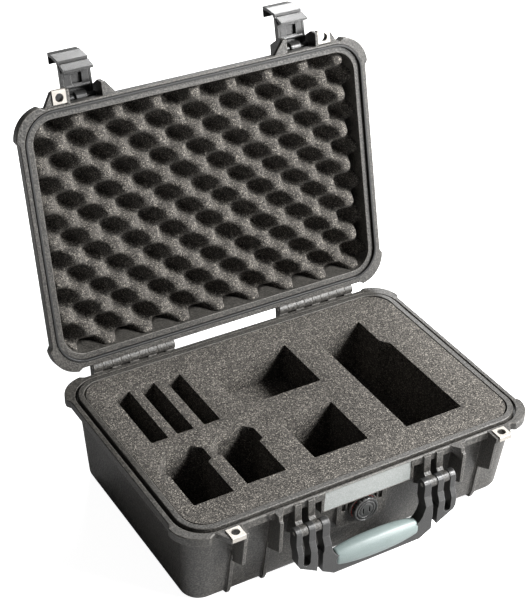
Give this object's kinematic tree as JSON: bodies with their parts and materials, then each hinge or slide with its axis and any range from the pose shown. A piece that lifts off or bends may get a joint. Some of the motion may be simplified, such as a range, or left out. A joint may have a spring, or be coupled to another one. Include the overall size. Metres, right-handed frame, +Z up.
{
  "type": "equipment case",
  "caption": "Hard shell carry case with hinged lid on foam-lined tub, over-centre latches, swinging grip handle, padlock lugs and screw-down purge valve.",
  "frame": {"origin": "centre of the underside, on the ground the runners stand on", "axes": "+X to the case's right seen from the front, +Y to the hinge side, +Z up; lid stored open at its stop, latches flipped up, handle hanging"},
  "size_m": [0.4638, 0.4907, 0.4664],
  "materials": {
    "shell": "fine moulded texture, black",
    "fittings": "satin black moulding",
    "foam": "open-cell foam, charcoal",
    "seal": "soft black rubber",
    "panel": "blank grey panel",
    "steel": "stainless steel",
    "grip": "soft grey-green rubber",
    "red_ring": "red rubber ring"
  },
  "bodies": {
    "tub": {"base_shell": "shell", "base_foam": "foam", "base_foam_pad": "foam", "nameplate": "panel", "padlock_plate_left": "steel", "hinge_pin_left": "steel", "handle_pin_left": "steel", "padlock_plate_right": "steel", "hinge_pin_right": "steel", "handle_pin_right": "steel"},
    "lid": {"lid_shell": "shell", "lid_seal": "seal", "lid_foam": "foam", "lid_padlock_plate_left": "steel", "latch_pin_left": "steel", "lid_padlock_plate_right": "steel", "latch_pin_right": "steel"},
    "handle": {"handle_frame": "fittings", "handle_grip": "grip"},
    "valve_screw": {"valve_oring": "red_ring"},
    "valve_cap": {"valve_knob": "fittings"},
    "latch_left": {"latch_lever_left": "fittings", "latch_hook_pin_left": "steel"},
    "hook_left": {"latch_hook_left": "fittings"},
    "latch_right": {"latch_lever_right": "fittings", "latch_hook_pin_right": "steel"},
    "hook_right": {"latch_hook_right": "fittings"}
  },
  "joints": [
    {"name": "lid_hinge", "type": "hinge", "parent": "tub", "child": "lid", "pos_m": [0, 0.1635, 0.1205], "axis": [1, 0, 0], "range_deg": [0, 104]},
    {"name": "latch_left_turn", "type": "hinge", "parent": "lid", "child": "latch_left", "pos_m": [-0.1415, 0.25559, 0.42579], "axis": [1, 0, 0], "range_deg": [0, 90]},
    {"name": "hook_left_swing", "type": "hinge", "parent": "latch_left", "child": "hook_left", "pos_m": [-0.1415, 0.26247, 0.43644], "axis": [-1, 0, 0], "range_deg": [-20, 0]},
    {"name": "latch_right_turn", "type": "hinge", "parent": "lid", "child": "latch_right", "pos_m": [0.1415, 0.25559, 0.42579], "axis": [1, 0, 0], "range_deg": [0, 90]},
    {"name": "hook_right_swing", "type": "hinge", "parent": "latch_right", "child": "hook_right", "pos_m": [0.1415, 0.26247, 0.43644], "axis": [-1, 0, 0], "range_deg": [-20, 0]},
    {"name": "handle_swing", "type": "hinge", "parent": "tub", "child": "handle", "pos_m": [0, -0.1685, 0.0865], "axis": [-1, 0, 0], "range_deg": [0, 100]},
    {"name": "valve_lift", "type": "slide", "parent": "tub", "child": "valve_screw", "axis": [0, -1, 0], "range_m": [0, 0.002]},
    {"name": "valve_turn", "type": "hinge", "parent": "valve_screw", "child": "valve_cap", "pos_m": [0, -0.15, 0.065], "axis": [0, -1, 0], "range_deg": [0, 360]}
  ],
  "couplings": [
    {"joint": "valve_lift", "follows": "valve_turn", "m_per_rad": 0.000318}
  ]
}
